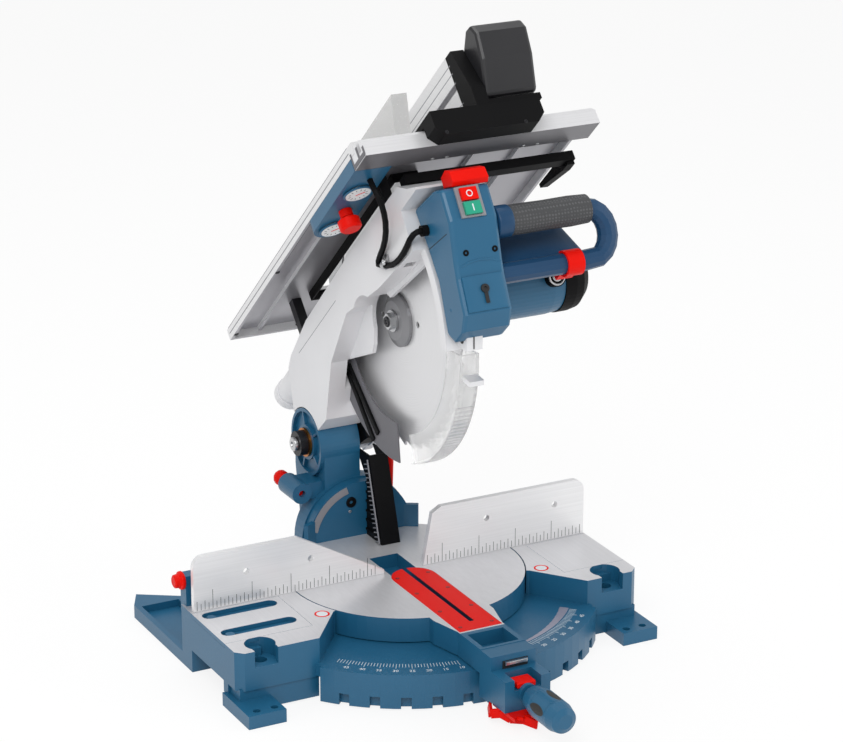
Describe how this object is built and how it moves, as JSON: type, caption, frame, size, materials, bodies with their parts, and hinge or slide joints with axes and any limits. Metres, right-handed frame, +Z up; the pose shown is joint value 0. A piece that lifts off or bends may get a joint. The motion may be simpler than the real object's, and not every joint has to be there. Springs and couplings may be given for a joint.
{
  "type": "combination mitre saw",
  "caption": "Chop saw with a turning, tilting head over a lower table and fence, and a second table with rip fence and crown guard above the blade.",
  "frame": {"origin": "middle of the footprint box at bench height", "axes": "+Z up from the bench, operator stands at -Y facing +Y, +X to the operator's right; the blade turns about X"},
  "size_m": [0.5378, 0.702, 0.7401],
  "materials": {
    "blue_paint": "satin",
    "blue_plastic": "satin",
    "silver_paint": "satin",
    "aluminium": "satin",
    "steel": "satin",
    "red_plastic": "satin",
    "green_plastic": "satin",
    "black_plastic": "matte",
    "dark_rubber": "matte",
    "clear_plastic": "gloss",
    "bronze": "satin",
    "dial_plastic": "satin"
  },
  "bodies": {
    "base": {"base_casting": "blue_paint", "fence_right": "aluminium"},
    "fence_left": {"fence_left": "aluminium"},
    "extension_left": {"extension_left": "aluminium"},
    "extension_right": {"extension_right": "aluminium"},
    "fence_knob": {"fence_knob": "red_plastic"},
    "turntable": {"turntable": "aluminium", "kerf_plate": "red_plastic"},
    "release_tab": {"release_tab": "red_plastic"},
    "mitre_lock": {"mitre_handle": "blue_plastic", "mitre_handle_grip": "dark_rubber"},
    "detent_lever": {"detent_lever": "red_plastic"},
    "column": {"bevel_hub": "blue_paint", "pivot_bush": "bronze", "lower_duct": "black_plastic"},
    "bevel_clamp": {"bevel_clamp": "red_plastic"},
    "lock_pin": {"lock_pin": "red_plastic"},
    "head": {"arm_casting": "silver_paint", "pivot_shaft": "steel", "dust_nozzle": "silver_paint", "upper_duct": "black_plastic", "inner_guard": "black_plastic", "riving_knife": "steel", "blade_frame": "black_plastic", "front_housing": "blue_paint", "switch_frame": "silver_paint", "cable_gland": "black_plastic", "cable_clip": "steel", "cable_lower": "black_plastic", "cable_upper": "black_plastic", "d_handle": "blue_plastic", "grip_sleeve": "dark_rubber", "gear_case": "blue_paint", "motor_housing": "blue_paint", "motor_cap": "black_plastic", "brush_cap": "black_plastic"},
    "trigger": {"trigger": "red_plastic"},
    "top_lever": {"top_lever": "red_plastic"},
    "button_off": {"button_off": "red_plastic"},
    "button_on": {"button_on": "green_plastic"},
    "spindle": {"arbor": "steel", "blade": "steel", "outer_flange": "steel", "blade_bolt": "steel"},
    "lower_guard": {"lower_guard": "clear_plastic", "guard_lug": "aluminium"},
    "crown_guard": {"crown_guard": "clear_plastic"},
    "table": {"upper_table": "aluminium", "front_rail": "aluminium", "height_post_rear": "steel", "height_post_front": "steel", "slot_shroud": "black_plastic", "dial_box": "blue_plastic", "dial_near": "dial_plastic", "dial_far": "dial_plastic"},
    "height_knob": {"height_knob": "red_plastic"},
    "rip_fence": {"rip_fence": "aluminium", "fence_shoe": "black_plastic", "fence_bracket": "black_plastic"},
    "fence_hood": {"fence_hood": "black_plastic"}
  },
  "joints": [
    {"name": "turn", "type": "hinge", "parent": "base", "child": "turntable", "pos_m": [0.0183, 0.03398, 0.045], "axis": [0, 0, 1], "range_deg": [-45, 45]},
    {"name": "mitre_lock_turn", "type": "hinge", "parent": "turntable", "child": "mitre_lock", "pos_m": [0.0183, -0.27402, 0.04], "axis": [0, -1, 0], "range_deg": [0, 360]},
    {"name": "detent_press", "type": "hinge", "parent": "turntable", "child": "detent_lever", "pos_m": [0.0183, -0.22802, 0.02], "axis": [1, 0, 0], "range_deg": [0, 8], "stiffness_Nm_per_rad": 0.3, "springref_deg": -5.73},
    {"name": "release_slide", "type": "slide", "parent": "turntable", "child": "release_tab", "axis": [0, 0, 1], "range_m": [0, 0.006], "stiffness_N_per_m": 40, "springref_m": -0.005},
    {"name": "fence_slide", "type": "slide", "parent": "base", "child": "fence_left", "axis": [-1, 0, 0], "range_m": [0, 0.075]},
    {"name": "extend_left", "type": "slide", "parent": "base", "child": "extension_left", "axis": [-1, 0, 0], "range_m": [0, 0.068]},
    {"name": "extend_right", "type": "slide", "parent": "base", "child": "extension_right", "axis": [1, 0, 0], "range_m": [0, 0.05]},
    {"name": "fence_knob_turn", "type": "hinge", "parent": "base", "child": "fence_knob", "pos_m": [-0.257, 0.06198, 0.1055], "axis": [-1, 0, 0], "range_deg": [0, 360]},
    {"name": "bevel", "type": "hinge", "parent": "turntable", "child": "column", "pos_m": [0.0183, 0.168, 0.075], "axis": [0, -1, 0], "range_deg": [0, 45]},
    {"name": "bevel_clamp_turn", "type": "hinge", "parent": "column", "child": "bevel_clamp", "pos_m": [0.0813, 0.19058, 0.098], "axis": [0, 1, 0], "range_deg": [0, 70]},
    {"name": "lock_pin_slide", "type": "slide", "parent": "column", "child": "lock_pin", "axis": [0, 1, 0], "range_m": [0, 0.01]},
    {"name": "chop", "type": "hinge", "parent": "column", "child": "head", "pos_m": [0.0183, 0.21098, 0.1855], "axis": [1, 0, 0], "range_deg": [0, 43], "stiffness_Nm_per_rad": 24, "springref_deg": -77.35},
    {"name": "trigger_press", "type": "hinge", "parent": "head", "child": "trigger", "pos_m": [0.0183, -0.13742, 0.48974], "axis": [1, 0, 0], "range_deg": [0, 8], "stiffness_Nm_per_rad": 0.2, "springref_deg": -17.19},
    {"name": "top_lever_lift", "type": "hinge", "parent": "head", "child": "top_lever", "pos_m": [0.0183, -0.0845, 0.589], "axis": [-1, 0, 0], "range_deg": [0, 10], "stiffness_Nm_per_rad": 0.5, "springref_deg": -11.46},
    {"name": "button_off_press", "type": "slide", "parent": "head", "child": "button_off", "axis": [0, 0.8161, -0.5779], "range_m": [0, 0.003], "stiffness_N_per_m": 150, "springref_m": -0.002},
    {"name": "button_on_press", "type": "slide", "parent": "head", "child": "button_on", "axis": [0, 0.8161, -0.5779], "range_m": [0, 0.003], "stiffness_N_per_m": 150, "springref_m": -0.002},
    {"name": "spin", "type": "hinge", "parent": "head", "child": "spindle", "pos_m": [0.0183, 0.04305, 0.38709], "axis": [1, 0, 0], "continuous": true},
    {"name": "guard_retract", "type": "hinge", "parent": "head", "child": "lower_guard", "pos_m": [0.0183, 0.04305, 0.38709], "axis": [1, 0, 0], "range_deg": [0, 84]},
    {"name": "crown_lift", "type": "hinge", "parent": "head", "child": "crown_guard", "pos_m": [0.0183, 0.22868, 0.44752], "axis": [-1, 0, 0], "range_deg": [0, 30]},
    {"name": "table_height", "type": "slide", "parent": "head", "child": "table", "axis": [0, 0.682, 0.7314], "range_m": [-0.029, 0.022], "deforming": ["cable_upper"]},
    {"name": "height_knob_turn", "type": "hinge", "parent": "table", "child": "height_knob", "pos_m": [-0.0567, 0.03566, 0.53166], "axis": [0, -0.682, -0.7314], "range_deg": [0, 360]},
    {"name": "rip_slide", "type": "slide", "parent": "table", "child": "rip_fence", "axis": [1, 0, 0], "range_m": [-0.03, 0.08]},
    {"name": "hood_tilt", "type": "hinge", "parent": "rip_fence", "child": "fence_hood", "pos_m": [0.0183, -0.03837, 0.66811], "axis": [1, 0, 0], "range_deg": [0, 60]}
  ],
  "couplings": [
    {"joint": "guard_retract", "follows": "chop", "ratio": 1.95}
  ]
}
